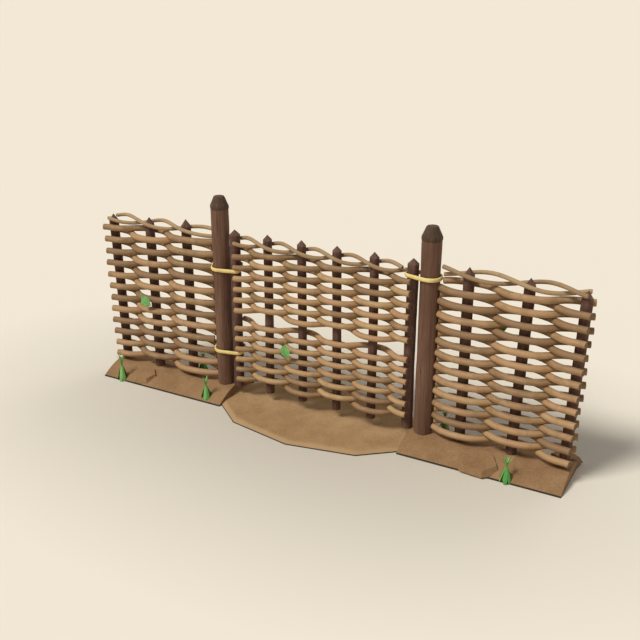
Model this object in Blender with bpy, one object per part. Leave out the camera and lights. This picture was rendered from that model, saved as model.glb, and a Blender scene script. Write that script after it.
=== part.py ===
"""Wattle gate in a short run of wattle fence.

A light gate, woven from round rods on six uprights, hangs on a stout post by two withy
loops. A third loop, slipped over its far upright, ties it to the second post. A woven
panel stands on each side. Posts and stakes are set in low earth banks, and a patch of
bare trodden earth lies in the gateway.

Metres, +Z up. The fence runs along X and its front faces -Y. The origin is on the
ground in the middle of the gateway. Run it with blender --background --python part.py
"""

import math

import bmesh
import bpy
from mathutils import Matrix, Vector

# Fits
CLEARANCE = 0.0003  # between pieces that touch
TURNING_GAP = 0.0004  # between an upright and a loop that turns or slides on it
MERGE = 0.00005  # points nearer than this are one

# Heights that everything is set out from
BANK_HEIGHT = 0.075
ROWS_TOP = 1.068  # no woven rod reaches higher

# Posts
POST_RADIUS = 0.0595  # to its corners
POST_SIDES = 8
POST_HEAD = 0.202  # above the woven rods, up to where the cap sits
CAP_RADIUS = 0.0605
CAP_BAND = 0.020  # upright rim of the cap
CAP_TAPER = 0.060  # sloping part above it
CAP_TOP_RADIUS = 0.034
TENON_RADIUS = 0.020  # round tenon that holds the cap
TENON_HEIGHT = 0.030

# Gate
GATE_HALF_WIDTH = 0.606  # from the middle of the gateway to each stile's centre
GATE_UPRIGHTS = 6
STILE_RADIUS = 0.035
STILE_GAP = 0.0187  # between the flats of a post and of the stile beside it
UPRIGHT_RADIUS = 0.029
UPRIGHT_SIDES = 8
GROUND_GAP = 0.005  # by which the gate's feet clear the banks as it swings
GATE_HEAD = 0.082  # tips of the uprights above the woven rods
UPRIGHT_POINT = 0.034  # height of the cone cut on the top of each upright
GATE_ROD_RADIUS = 0.0185
GATE_FEET = 0.0475  # length of the uprights under the lowest rod
CARRY_GAP_FOOT = 0.561  # the open row, through which the gate is lifted and carried
CARRY_GAP_HEIGHT = 0.049
HEEL_SETBACK = 0.016  # between the heel stile's centre and the rods' ends
LATCH_OVERHANG = 0.008  # rods past the centre of the latch stile
GATE_BUNDLE_COUNT = 2  # rods that are joined in one piece

# Panels: for each stake the distance of its foot and of its tip from the post beside the
# panel, and its length above the woven rods
LEFT_STAKES = ((0.266, 0.271, 0.099), (0.556, 0.569, 0.075), (0.846, 0.873, 0.060))
RIGHT_STAKES = ((0.229, 0.229, 0.082), (0.542, 0.569, 0.076), (0.846, 0.873, 0.058))
STAKE_RADIUS = 0.033
STAKE_POINT = 0.050  # height of the cone cut on the top of each stake
LEFT_ROD_RADIUS = 0.0218
RIGHT_ROD_RADIUS = 0.0209
PANEL_ROWS_GAP = 0.0305  # between the top of the bank and the lowest rod
PANEL_OVERHANG = 0.040  # rods past the outer stake's centre
TAIL_SPREAD = 0.45  # slope at which they leave the stake, away from the middle plane
RAGGED = 0.004  # by how much their sawn ends differ
PANEL_BUNDLE_COUNT = 4

# Weaving
ROD_SIDES = 6
ROD_BITE = 0.0026  # how far the rods of a bundle press into each other
ROW_GAP = 0.0004  # between one bundle and the next
HUG = 0.80  # share of an upright's radius, each way, along which a rod lies straight
SAWN_SPARE = 0.050  # length past each end of a rod before it is sawn off

# Twisted withies along the top
WITHY_RADIUS = 0.0125
WITHY_RISE = 0.0245  # how far each one rises and falls as the two twist
WITHY_OVERHANG = 0.010
WITHY_STEPS = 3  # rings of a withy between two uprights, where a rod runs straight

# Loops
LOOP_HEIGHT = 0.026
LOOP_DEPTH = 0.014  # it is pressed flat on the wood
LOOP_SIDES = 6
POST_ARC_STEPS = 12
STILE_ARC_STEPS = 8
LOOP_CORNER = 1.03  # how far a corner of the belt stands out past its chords
LOOP_STEP_WIDTH = 0.040  # a hinge loop steps up from its front to its back within this
LOWER_LOOP_COUNT = 2  # pairs of rods below the one that the lower hinge loop lies on
UPPER_LOOP_COUNT = 10  # pairs of rods below the one that the upper hinge loop lies under

# Earth
BANK_LEAD = 0.080  # a bank's inner end from the centre of its post, into the gateway
BANK_LENGTH = 0.974
BANK_HALF_WIDTH = 0.210
EARTH_EDGE = 0.004  # upright edge all round the earth
BANK_STEPS = 10  # facets across the arch
SOCKET_FLOOR = 0.012
CUTTER_SPARE = 0.010  # how far a cutter runs past the face that it opens
PATCH_POINT = 0.099  # where the outline's two end corners would be, past the banks' ends
PATCH_WIDTH = 0.860
PATCH_SIDES = 10
PATCH_HEIGHT = 0.020
PATCH_RIM = 0.040
CLOD_SIDES = 6
CLOD_TOP = 0.55  # share of its radius that a clod keeps at its top
# name, side of the gateway and of the fence, distance from the post and from the bank's
# edge, half sizes along X and Y, height of the foot and of the top, turn in degrees
CLODS = (
    ("clod_left", -1, -1, 0.593, 0.072, (0.108, 0.070), 0.010, 0.078, 8),
    ("clod_right", 1, -1, 0.396, 0.078, (0.135, 0.088), 0.014, 0.088, -6),
    ("clod_far", 1, 1, 0.818, 0.035, (0.098, 0.080), 0.010, 0.062, 20),
)

# Grass
TUFT_RADIUS = 0.036
TUFT_WAIST = 0.009
TUFT_WAIST_HEIGHT = 0.58  # share of the tuft's height
TUFT_SPLAY = 0.030
TUFT_UNEVEN = 0.06  # share by which its blades differ in length
TUFT_BLADES = 6
TUFT_ROOT = 0.030  # how far it is made below its foot, before the bank cuts it
# side of the gateway and of the fence, distance from the post and from the bank's edge,
# and how tall it is
TUFTS = (
    (-1, -1, 0.743, 0.018, 0.190),
    (-1, -1, 0.050, 0.042, 0.150),
    (1, -1, 0.580, 0.020, 0.155),
    (-1, 1, 0.318, 0.040, 0.140),
    (1, 1, 0.073, 0.045, 0.140),
)

UP = Vector((0.0, 0.0, 1.0))


# Tools of the model


def make_material(name, colour, roughness):
    material = bpy.data.materials.new(name)
    material.use_nodes = True
    shader = material.node_tree.nodes["Principled BSDF"]
    shader.inputs["Base Color"].default_value = (*colour, 1.0)
    shader.inputs["Roughness"].default_value = roughness
    shader.inputs["Metallic"].default_value = 0.0
    material.diffuse_color = (*colour, 1.0)
    return material


def add_object(name, bm, material, parent=None):
    """Turn a bmesh into an object, and hang it on its joint's empty if it moves."""
    bmesh.ops.recalc_face_normals(bm, faces=bm.faces)
    mesh = bpy.data.meshes.new(name)
    bm.to_mesh(mesh)
    bm.free()
    mesh.shade_smooth()
    mesh.set_sharp_from_angle(angle=math.radians(40))
    if material:
        mesh.materials.append(material)
    piece = bpy.data.objects.new(name, mesh)
    bpy.context.scene.collection.objects.link(piece)
    if parent:
        piece.parent = parent
        piece.location = -parent.location
    return piece


def add_guide(name, bm):
    """An object that only cuts or joins others."""
    guide = add_object(name, bm, None)
    guide.hide_render = True
    guide.display_type = "WIRE"
    return guide


def combine(piece, guide, operation):
    boolean = piece.modifiers.new(guide.name, "BOOLEAN")
    boolean.operation = operation
    boolean.solver = "EXACT"
    boolean.object = guide


def add_axis(name, location):
    axis = bpy.data.objects.new(name, None)
    axis.location = location
    bpy.context.scene.collection.objects.link(axis)
    return axis


def skin(bm, rings, closed=False):
    """Faces between rings of as many corners each, with both ends filled."""
    pairs = list(zip(rings, rings[1:]))
    if closed:
        pairs.append((rings[-1], rings[0]))
    else:
        bm.faces.new(rings[0])
        bm.faces.new(rings[-1])
    for lower, upper in pairs:
        for i in range(len(lower)):
            j = (i + 1) % len(lower)
            bm.faces.new((lower[i], lower[j], upper[j], upper[i]))


def tube(path, radius, sides, closed=False, flatness=1.0):
    """A tube along points, with a corner of its section on top.

    Flatness is its level thickness as a share of its upright one.
    """
    bm = bmesh.new()
    rings = []
    for i, point in enumerate(path):
        before = path[i - 1] if closed or i else point
        after = path[(i + 1) % len(path)] if closed or i + 1 < len(path) else point
        along = ((point - before).normalized() + (after - point).normalized()).normalized()
        side = along.cross(UP).normalized()
        frame = Matrix((side * flatness, side.cross(along), along)).transposed().to_4x4()
        frame.translation = point
        made = bmesh.ops.create_circle(bm, segments=sides, radius=radius, matrix=frame)
        rings.append(made["verts"])
    skin(bm, rings, closed)
    return bm


def turned(profile, sides, placing=Matrix()):
    """A solid with flat sides that face X and Y, through (radius, height) levels."""
    bm = bmesh.new()
    flats = Matrix.Rotation(math.pi / sides, 4, "Z")
    rings = []
    for radius, height in profile:
        level = placing @ Matrix.Translation((0.0, 0.0, height)) @ flats
        made = bmesh.ops.create_circle(bm, segments=sides, radius=radius, matrix=level)
        rings.append(made["verts"])
    skin(bm, rings)
    bmesh.ops.remove_doubles(bm, verts=bm.verts, dist=MERGE)
    return bm


def saw_off(bm, start, end):
    """Cut a solid square at two places along X."""
    for x, outwards in ((start, -1.0), (end, 1.0)):
        bmesh.ops.bisect_plane(
            bm,
            geom=bm.verts[:] + bm.edges[:] + bm.faces[:],
            plane_co=(x, 0.0, 0.0),
            plane_no=(outwards, 0.0, 0.0),
            clear_outer=True,
        )
        bmesh.ops.holes_fill(bm, edges=bm.edges)


def flat_of(radius, sides):
    """From the centre of a regular outline to the middle of one of its flats."""
    return radius * math.cos(math.pi / sides)


# Set-out lines along X and Z

POST_FLAT = flat_of(POST_RADIUS, POST_SIDES)
POST_OFFSET = GATE_HALF_WIDTH + flat_of(STILE_RADIUS, UPRIGHT_SIDES) + STILE_GAP + POST_FLAT
POST_SHOULDER = ROWS_TOP + POST_HEAD
BANK_START = POST_OFFSET - BANK_LEAD
GATE_FOOT = BANK_HEIGHT + GROUND_GAP
GATE_TIP = ROWS_TOP + GATE_HEAD

# Materials

POST_WOOD = make_material("post_wood", (0.105, 0.058, 0.036), 0.85)
CAP_WOOD = make_material("cap_wood", (0.058, 0.038, 0.026), 0.80)
STAKE_WOOD = make_material("stake_wood", (0.080, 0.038, 0.026), 0.85)
ROD_BARK = make_material("rod_bark", (0.330, 0.210, 0.110), 0.75)
WITHY_BARK = make_material("withy_bark", (0.260, 0.170, 0.095), 0.75)
LOOP_WITHY = make_material("loop_withy", (0.780, 0.590, 0.200), 0.65)
BANK_EARTH = make_material("bank_earth", (0.280, 0.165, 0.078), 0.95)
PATCH_EARTH = make_material("patch_earth", (0.330, 0.200, 0.092), 0.95)
GRASS = make_material("grass", (0.090, 0.330, 0.060), 0.70)


# Uprights


def upright(radius, foot, tip, point_height, grow=0.0, sink=0.0):
    """A stake or stile with a cone on top, or with grow and sink the socket for it."""
    foot, tip = Vector(foot), Vector(tip)
    length = (tip - foot).length
    lean = (tip - foot).angle(UP) * (1 if tip.x >= foot.x else -1)
    placing = Matrix.Translation(foot) @ Matrix.Rotation(lean, 4, "Y")
    wide = radius + grow
    profile = [(wide, -sink), (wide, length - point_height), (0.0, length)]
    return turned(profile, UPRIGHT_SIDES, placing)


def stake_point(side, stake, height=None):
    """The middle of a leaning stake at a height, or its tip."""
    foot, tip, head = stake
    top = ROWS_TOP + head
    height = top if height is None else height
    along = foot + (tip - foot) * height / top
    return (side * (POST_OFFSET + along), 0.0, height)


def panel_stake(side, stake, grow=0.0, sink=0.0):
    foot = stake_point(side, stake, SOCKET_FLOOR + CLEARANCE)
    return upright(STAKE_RADIUS, foot, stake_point(side, stake), STAKE_POINT, grow, sink)


# Weaving


def woven(stops, height, start, end, front_first, rod_radius, rise=0.0):
    """A rod that passes in front of one stop and behind the next, sawn off at both ends.

    A stop is (place along X, reach from the middle plane to its flat, half length that
    the rod hugs). Past the outer stops the rod spreads away from the middle plane. With a
    rise it also winds up and down, as twisted withies do.
    """
    turn = 0.0 if front_first else math.pi

    def point(x, k, share, spread=0.0):
        here, there = stops[k][1], stops[min(k + 1, len(stops) - 1)][1]
        reach = here + (there - here) * share
        swing = reach + flat_of(rod_radius, ROD_SIDES) + CLEARANCE + spread
        angle = turn + math.pi * (k + share)
        return Vector((x, -swing * math.cos(angle), height - rise * math.sin(angle)))

    marks = []
    for k, (x, _, hug) in enumerate(stops):
        marks += [(x - hug, k, 0.0), (x + hug, k, 0.0)]
        if k + 1 < len(stops):
            begin, finish = x + hug, stops[k + 1][0] - stops[k + 1][2]
            steps = WITHY_STEPS if rise else 0
            for step in range(1, steps + 1):
                share = step / (steps + 1)
                marks.append((begin + (finish - begin) * share, k, share))
    first, last = marks[0][0], marks[-1][0]
    near, far = min(start, first) - SAWN_SPARE, max(end, last) + SAWN_SPARE
    marks.insert(0, (near, 0, 0.0, TAIL_SPREAD * (first - near)))
    marks.append((far, len(stops) - 1, 0.0, TAIL_SPREAD * (far - last)))
    bm = tube([point(*mark) for mark in marks], rod_radius, ROD_SIDES)
    saw_off(bm, start, end)
    return bm


def rows(foot, top, radius, bundle):
    """Heights of as many rods as fit, bundle by bundle."""
    found = []
    height = foot + radius
    while height + radius <= top:
        if len(found) and len(found[-1]) < bundle:
            found[-1].append(height)
        else:
            found.append([height])
        full = len(found[-1]) == bundle
        height += 2 * radius + (ROW_GAP if full else -ROD_BITE)
    return found


def ragged(row):
    """A small difference in length, so that no two neighbours end alike."""
    return RAGGED * math.sin(2.4 * row)


def add_bundle(name, rods, parent=None):
    """Rods that press into each other where they cross, joined in one piece."""
    piece = add_object(name, rods[0], ROD_BARK, parent)
    for i, rod in enumerate(rods[1:], 2):
        combine(piece, add_guide(f"{name}_rod_{i}", rod), "UNION")


# Loops


def loop(post_x, stile_x, front, back):
    """A belt round a post and a stile, at its own height in front and at the back."""
    half = flat_of(LOOP_DEPTH / 2, LOOP_SIDES)
    distance = abs(stile_x - post_x)
    towards = 1 if stile_x > post_x else -1
    around_post = POST_RADIUS + TURNING_GAP + half
    around_stile = STILE_RADIUS + TURNING_GAP + half
    split = math.acos((around_post - around_stile) / distance)
    arcs = (
        (post_x, around_post, split, 2 * math.pi - split, POST_ARC_STEPS),
        (stile_x, around_stile, -split, split, STILE_ARC_STEPS),
    )
    path = []
    for x, radius, begin, finish, steps in arcs:
        # a chord's middle, not its ends, lies at the radius asked for
        radius /= math.cos((finish - begin) / steps / 2)
        for step in range(steps + 1):
            angle = begin + (finish - begin) * step / steps
            y = radius * math.sin(angle)
            share = min(max(0.5 + y / LOOP_STEP_WIDTH, 0.0), 1.0)
            height = front + (back - front) * share
            path.append(Vector((x + towards * radius * math.cos(angle), y, height)))
    return tube(path, LOOP_HEIGHT / 2, LOOP_SIDES, True, LOOP_DEPTH / LOOP_HEIGHT)


def loop_reach(radius):
    """How far a loop stands out from the centre of the upright that it goes round."""
    return (radius + TURNING_GAP + LOOP_DEPTH / 2) * LOOP_CORNER + LOOP_DEPTH / 2


def meets(height, rod_radius, heights):
    """Whether a rod at this height would run into a loop that spans these heights."""
    near = rod_radius + LOOP_HEIGHT / 2 + CLEARANCE
    return min(heights) - near < height < max(heights) + near


# Earth


def bank_height(y):
    arch = 1 - (y / BANK_HALF_WIDTH) ** 2
    return EARTH_EDGE + (BANK_HEIGHT - EARTH_EDGE) * arch


def bank_solid(side, grow=0.0):
    """An arched bank along X on one side of the gateway, or a cutter a little larger."""
    half = BANK_HALF_WIDTH + grow
    foot = -CUTTER_SPARE if grow else 0.0
    outline = [(-half, foot), (half, foot)]
    for i in range(BANK_STEPS + 1):
        share = 1 - 2 * i / BANK_STEPS
        outline.append((half * share, bank_height(BANK_HALF_WIDTH * share) + grow))
    bm = bmesh.new()
    near, far = BANK_START - grow, BANK_START + BANK_LENGTH + grow
    skin(bm, [[bm.verts.new((side * x, y, z)) for y, z in outline] for x in (near, far)])
    return bm


def add_bank(name, side, stakes):
    bank = add_object(name, bank_solid(side), BANK_EARTH)
    hole = [(POST_RADIUS + CLEARANCE, SOCKET_FLOOR), (POST_RADIUS + CLEARANCE, POST_SHOULDER)]
    placing = Matrix.Translation((side * POST_OFFSET, 0.0, 0.0))
    combine(bank, add_guide(f"{name}_post_socket", turned(hole, POST_SIDES, placing)), "DIFFERENCE")
    for i, stake in enumerate(stakes, 1):
        socket = panel_stake(side, stake, CLEARANCE, CLEARANCE)
        combine(bank, add_guide(f"{name}_socket_{i}", socket), "DIFFERENCE")


def add_patch():
    """Trodden earth in the gateway, cut where the banks begin."""
    half_x, half_y = BANK_START + PATCH_POINT, PATCH_WIDTH / 2
    bm = bmesh.new()
    rings = []
    for inset, height in ((0.0, 0.0), (0.0, EARTH_EDGE), (PATCH_RIM, PATCH_HEIGHT)):
        scale = Matrix.Diagonal((half_x - inset, half_y - inset, 1.0, 1.0))
        level = Matrix.Translation((0.0, 0.0, height)) @ scale
        made = bmesh.ops.create_circle(bm, segments=PATCH_SIDES, radius=1.0, matrix=level)
        rings.append(made["verts"])
    skin(bm, rings)
    saw_off(bm, CLEARANCE - BANK_START, BANK_START - CLEARANCE)
    add_object("worn_patch", bm, PATCH_EARTH)


def on_bank(side, face, from_post, from_edge):
    """A place on a bank, on the front (-1) or the back (1) of the fence."""
    return side * (POST_OFFSET + from_post), face * (BANK_HALF_WIDTH - from_edge)


def add_clod(name, side, face, from_post, from_edge, half_sizes, foot, top, turn, cutters):
    """A flat lump of earth with a hexagonal outline, lying on a bank."""
    centre = on_bank(side, face, from_post, from_edge)
    spin = Matrix.Rotation(math.radians(turn), 4, "Z")
    corner_along_x = Matrix.Rotation(math.pi / 2, 4, "Z")
    bm = bmesh.new()
    rings = []
    for share, height in ((1.0, foot), (1.0, foot + EARTH_EDGE), (CLOD_TOP, top)):
        scale = Matrix.Diagonal((half_sizes[0] * share, half_sizes[1] * share, 1.0, 1.0))
        level = Matrix.Translation((*centre, height)) @ spin @ scale @ corner_along_x
        made = bmesh.ops.create_circle(bm, segments=CLOD_SIDES, radius=1.0, matrix=level)
        rings.append(made["verts"])
    skin(bm, rings)
    clod = add_object(name, bm, BANK_EARTH)
    combine(clod, cutters[side], "DIFFERENCE")


# Grass


def add_tuft(name, side, face, from_post, from_edge, height, cutters):
    """A tuft drawn in at its waist, whose blades lean out above it."""
    x, y = on_bank(side, face, from_post, from_edge)
    foot = bank_height(y)
    root = max(CLEARANCE, foot - TUFT_ROOT)
    waist = foot + height * TUFT_WAIST_HEIGHT
    bm = bmesh.new()
    rings = []
    for radius, level in ((TUFT_RADIUS, root), (TUFT_RADIUS, foot), (TUFT_WAIST, waist)):
        place = Matrix.Translation((x, y, level))
        made = bmesh.ops.create_circle(bm, segments=TUFT_BLADES, radius=radius, matrix=place)
        rings.append(made["verts"])
    skin(bm, rings)
    crown = next(f for f in bm.faces if all(v in rings[-1] for v in f.verts))
    middle = bmesh.ops.poke(bm, faces=[crown])
    for i, face in enumerate(list(middle["faces"])):
        out = face.calc_center_median() - Vector((x, y, waist))
        tall = height * (1 - TUFT_UNEVEN * (i % 3))
        tip = Vector((x, y, foot + tall)) + out.normalized() * TUFT_SPLAY
        blade = bmesh.ops.poke(bm, faces=[face])
        blade["verts"][0].co = tip
    tuft = add_object(name, bm, GRASS)
    combine(tuft, cutters[side], "DIFFERENCE")


# Building

for old in list(bpy.data.objects):
    bpy.data.objects.remove(old, do_unlink=True)

swing_axis = add_axis("gate_swing_axis", (-POST_OFFSET, 0.0, 0.0))
lift_axis = add_axis("latch_lift_axis", (POST_OFFSET, 0.0, 0.0))

# Banks, with what lies and grows on them
add_bank("left_bank", -1, LEFT_STAKES)
add_bank("right_bank", 1, RIGHT_STAKES)
add_patch()
bank_cutters = {
    -1: add_guide("left_bank_cutter", bank_solid(-1, CLEARANCE)),
    1: add_guide("right_bank_cutter", bank_solid(1, CLEARANCE)),
}
for clod in CLODS:
    add_clod(*clod, bank_cutters)
for i, tuft in enumerate(TUFTS, 1):
    add_tuft(f"grass_tuft_{i}", *tuft, bank_cutters)

# Posts and their caps
for name, post_x in (("heel_post", -POST_OFFSET), ("latch_post", POST_OFFSET)):
    placing = Matrix.Translation((post_x, 0.0, 0.0))
    levels = [
        (POST_RADIUS, SOCKET_FLOOR + CLEARANCE),
        (POST_RADIUS, POST_SHOULDER),
        (TENON_RADIUS, POST_SHOULDER),
        (TENON_RADIUS, POST_SHOULDER + TENON_HEIGHT),
    ]
    add_object(name, turned(levels, POST_SIDES, placing), POST_WOOD)
    seat = POST_SHOULDER + CLEARANCE
    cap_levels = [
        (CAP_RADIUS, seat),
        (CAP_RADIUS, seat + CAP_BAND),
        (CAP_TOP_RADIUS, seat + CAP_BAND + CAP_TAPER),
    ]
    cap = add_object(f"{name}_cap", turned(cap_levels, POST_SIDES, placing), CAP_WOOD)
    mortise = [
        (TENON_RADIUS + CLEARANCE, POST_SHOULDER - CUTTER_SPARE),
        (TENON_RADIUS + CLEARANCE, seat + TENON_HEIGHT),
    ]
    combine(cap, add_guide(f"{name}_mortise", turned(mortise, POST_SIDES, placing)), "DIFFERENCE")

# Stakes of the two panels
for side_name, side, stakes in (("left", -1, LEFT_STAKES), ("right", 1, RIGHT_STAKES)):
    for i, stake in enumerate(stakes, 1):
        add_object(f"{side_name}_stake_{i}", panel_stake(side, stake), STAKE_WOOD)

# Uprights of the gate
gate_stops = []
bay = 2 * GATE_HALF_WIDTH / (GATE_UPRIGHTS - 1)
for i in range(GATE_UPRIGHTS):
    x = i * bay - GATE_HALF_WIDTH
    outer = i in (0, GATE_UPRIGHTS - 1)
    radius = STILE_RADIUS if outer else UPRIGHT_RADIUS
    name = f"gate_upright_{i}" if not outer else "latch_stile" if i else "heel_stile"
    solid = upright(radius, (x, 0.0, GATE_FOOT), (x, 0.0, GATE_TIP), UPRIGHT_POINT)
    add_object(name, solid, STAKE_WOOD, swing_axis)
    gate_stops.append((x, flat_of(radius, UPRIGHT_SIDES), HUG * radius))

# Rows of the gate, below and above the carrying gap
gate_rows = rows(GATE_FOOT + GATE_FEET, CARRY_GAP_FOOT, GATE_ROD_RADIUS, GATE_BUNDLE_COUNT)
upper_foot = CARRY_GAP_FOOT + CARRY_GAP_HEIGHT
gate_top = ROWS_TOP - LOOP_HEIGHT - TURNING_GAP  # leaves the latch loop its place
gate_rows += rows(upper_foot, gate_top, GATE_ROD_RADIUS, GATE_BUNDLE_COUNT)

# Loops: each hinge loop lies between two rods in front and two behind, and the latch
# loop on the top rod
seat = GATE_ROD_RADIUS + LOOP_HEIGHT / 2 + CLEARANCE
lower_loop = [height + seat for height in gate_rows[LOWER_LOOP_COUNT]]
upper_loop = [height - seat for height in gate_rows[UPPER_LOOP_COUNT]]
latch_loop = [gate_rows[-1][-1] + seat] * 2
for name, heights in (("hinge_loop_lower", lower_loop), ("hinge_loop_upper", upper_loop)):
    solid = loop(-POST_OFFSET, -GATE_HALF_WIDTH, *heights)
    add_object(name, solid, LOOP_WITHY, swing_axis)
solid = loop(POST_OFFSET, GATE_HALF_WIDTH, *latch_loop)
add_object("latch_loop", solid, LOOP_WITHY, lift_axis)

# Rods of the gate
row = 0
start = HEEL_SETBACK - GATE_HALF_WIDTH
end = GATE_HALF_WIDTH + LATCH_OVERHANG
for number, heights in enumerate(gate_rows, 1):
    rods = []
    for height in heights:
        rods.append(woven(gate_stops, height, start, end, row % 2 == 0, GATE_ROD_RADIUS))
        row += 1
    add_bundle(f"gate_rods_{number:02d}", rods, swing_axis)

# Rods and withies of the panels
withy_seat = CLEARANCE + WITHY_RISE + WITHY_RADIUS  # from the rods' top to its middle line
for side_name, side, stakes, rod_radius, loops in (
    ("left", -1, LEFT_STAKES, LEFT_ROD_RADIUS, (lower_loop, upper_loop)),
    ("right", 1, RIGHT_STAKES, RIGHT_ROD_RADIUS, (latch_loop,)),
):

    def panel_stops(height):
        """The stakes at this height, and a place beyond the post for the rod to aim at.

        It crosses the middle plane half way there, which is where it meets the post.
        """
        places = [stake_point(side, stake, height)[0] for stake in stakes]
        places.append(2 * side * (POST_OFFSET + POST_RADIUS) - places[0])
        flat = flat_of(STAKE_RADIUS, UPRIGHT_SIDES)
        return [(x, flat, HUG * STAKE_RADIUS) for x in sorted(places)]

    def panel_rod(height, radius, overhang, in_front, rise=0.0):
        """One rod from beside the post, or beside a loop's way, past the outer stake."""
        in_way = any(meets(height, radius, heights) for heights in loops)
        in_way = in_way or side > 0 and height > latch_loop[0]
        near = (loop_reach(POST_RADIUS) if in_way else POST_RADIUS) + CLEARANCE
        inner = side * (POST_OFFSET + near)
        outer = stake_point(side, stakes[-1], height)[0] + side * overhang
        ends = sorted((inner, outer))
        # in front of the outer stake, which is the first of the four stops on the left
        # and the last on the right
        front_first = in_front == (side < 0)
        return woven(panel_stops(height), height, *ends, front_first, radius, rise)

    row = 0
    panel_rows = rows(BANK_HEIGHT + PANEL_ROWS_GAP, ROWS_TOP, rod_radius, PANEL_BUNDLE_COUNT)
    for number, heights in enumerate(panel_rows, 1):
        rods = []
        for height in heights:
            rods.append(panel_rod(height, rod_radius, PANEL_OVERHANG + ragged(row), row % 2 == 0))
            row += 1
        add_bundle(f"{side_name}_rods_{number}", rods)
    for letter, in_front in (("a", True), ("b", False)):
        height = ROWS_TOP + withy_seat
        solid = panel_rod(height, WITHY_RADIUS, WITHY_OVERHANG, in_front, WITHY_RISE)
        add_object(f"{side_name}_withy_{letter}", solid, WITHY_BARK)

# Withies of the gate, which stop short of the latch loop's way up
end = GATE_HALF_WIDTH - loop_reach(STILE_RADIUS) - CLEARANCE
height = gate_top + withy_seat
for letter, front_first in (("a", True), ("b", False)):
    solid = woven(gate_stops, height, start, end, front_first, WITHY_RADIUS, WITHY_RISE)
    add_object(f"gate_withy_{letter}", solid, WITHY_BARK, swing_axis)
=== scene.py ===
"""Looks of the wattle gate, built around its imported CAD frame.

Metres, +Z up, the fence along X with its front towards -Y. The sections follow the order
in which the fence is made: earth, posts, uprights and stakes, woven rods, twisted
withies, loops, and what grows on it. The camera, the light and the floor come last.
"""

import math
import random

import bmesh
import bpy
from mathutils import Matrix, Vector, noise


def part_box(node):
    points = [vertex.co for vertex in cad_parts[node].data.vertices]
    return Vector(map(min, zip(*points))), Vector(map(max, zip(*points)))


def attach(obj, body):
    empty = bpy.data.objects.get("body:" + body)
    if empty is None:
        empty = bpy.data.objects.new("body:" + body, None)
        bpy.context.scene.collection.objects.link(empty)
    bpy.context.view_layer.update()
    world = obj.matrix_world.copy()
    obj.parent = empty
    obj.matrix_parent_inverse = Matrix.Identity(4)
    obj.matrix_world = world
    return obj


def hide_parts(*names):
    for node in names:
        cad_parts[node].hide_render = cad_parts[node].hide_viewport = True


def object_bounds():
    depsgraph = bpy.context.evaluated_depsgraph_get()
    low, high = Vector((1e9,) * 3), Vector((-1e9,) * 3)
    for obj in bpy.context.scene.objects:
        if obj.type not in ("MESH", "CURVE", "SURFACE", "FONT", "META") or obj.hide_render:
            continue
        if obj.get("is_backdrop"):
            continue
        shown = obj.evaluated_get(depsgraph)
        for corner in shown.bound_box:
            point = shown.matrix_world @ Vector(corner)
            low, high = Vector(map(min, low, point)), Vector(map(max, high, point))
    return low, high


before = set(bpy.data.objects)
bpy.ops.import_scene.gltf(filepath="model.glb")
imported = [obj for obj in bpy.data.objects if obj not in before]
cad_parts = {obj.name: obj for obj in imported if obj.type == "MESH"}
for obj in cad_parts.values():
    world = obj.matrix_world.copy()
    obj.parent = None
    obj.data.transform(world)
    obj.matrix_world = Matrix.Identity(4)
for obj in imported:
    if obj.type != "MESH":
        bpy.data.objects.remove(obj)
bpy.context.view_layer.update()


# Banks of earth
# Two low arched banks hold the posts and the stakes. They are soil thrown up along the
# fence and beaten flat with a spade, which leaves crisp cut edges all round.

BANK_EDGE = 0.004
BANK_CELL = 0.012
BANK_CREASES = 9
BANK_FADE = 6.0  # higher: uneven closer to its edge
# unevenness: size across, height and seed of its pattern
BANK_SWELLS = (0.11, 0.0022, 2.0)
BANK_LUMPS = (0.035, 0.00099, 5.0)
POST_COLLAR = 0.060  # radius up to which the soil rammed round it stays up
STAKE_COLLAR = 0.033
COLLAR_REACH = 0.055
COLLAR_RISE = 0.005
SOIL = (0.302, 0.173, 0.079)
SOIL_DAMP = (0.218, 0.118, 0.052)
SOIL_DRY = (0.386, 0.237, 0.116)
STONE = (0.470, 0.360, 0.250)
# painted shade: a dark contact shadow along the lowest few millimetres of the soil
FOOT_PAINTED_SHADE = (0.045, 0.032, 0.024)
FOOT_SHADE_RISE = 0.0045  # how far up the painted shade at the foot reaches
RIM_TOP = 0.0175  # top of the slope round the trodden soil


def plug(tree, socket, value):
    """Set a shader input, or link it to another node's output."""
    if isinstance(value, bpy.types.NodeSocket):
        tree.links.new(value, socket)
    else:
        socket.default_value = value


def add_node(tree, kind, inputs=None, **settings):
    """A shader node with its inputs and settings."""
    made = tree.nodes.new("ShaderNode" + kind)
    for name, value in settings.items():
        setattr(made, name, value)
    for name, value in (inputs or {}).items():
        plug(tree, made.inputs[name], value)
    return made


def grain(tree, place, scale, detail, roughness=0.6, stretch=None):
    """Cloudy noise from 0 to 1, drawn out where stretch is uneven."""
    if stretch:
        place = add_node(tree, "Mapping", {"Vector": place, "Scale": stretch}).outputs[0]
    inputs = {"Vector": place, "Scale": scale, "Detail": detail, "Roughness": roughness}
    return add_node(tree, "TexNoise", inputs).outputs["Fac"]


def sums(tree, operation, first, second=0.0, third=0.0):
    """One step of arithmetic."""
    made = add_node(tree, "Math", operation=operation)
    for socket, value in zip(made.inputs, (first, second, third)):
        plug(tree, socket, value)
    return made.outputs[0]


def times(tree, first, second):
    """One value times another."""
    return sums(tree, "MULTIPLY", first, second)


def layered(tree, *parts, start=0.0):
    """The sum of patterns; each part is (pattern, its share)."""
    for pattern, share in parts:
        start = sums(tree, "MULTIPLY_ADD", pattern, share, start)
    return start


def spread(tree, value, low, high, new_low=0.0, new_high=1.0):
    """Bring a span of values onto a new one, held at its ends."""
    names = ("Value", "From Min", "From Max", "To Min", "To Max")
    inputs = dict(zip(names, (value, low, high, new_low, new_high)))
    return add_node(tree, "MapRange", inputs).outputs[0]


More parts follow.
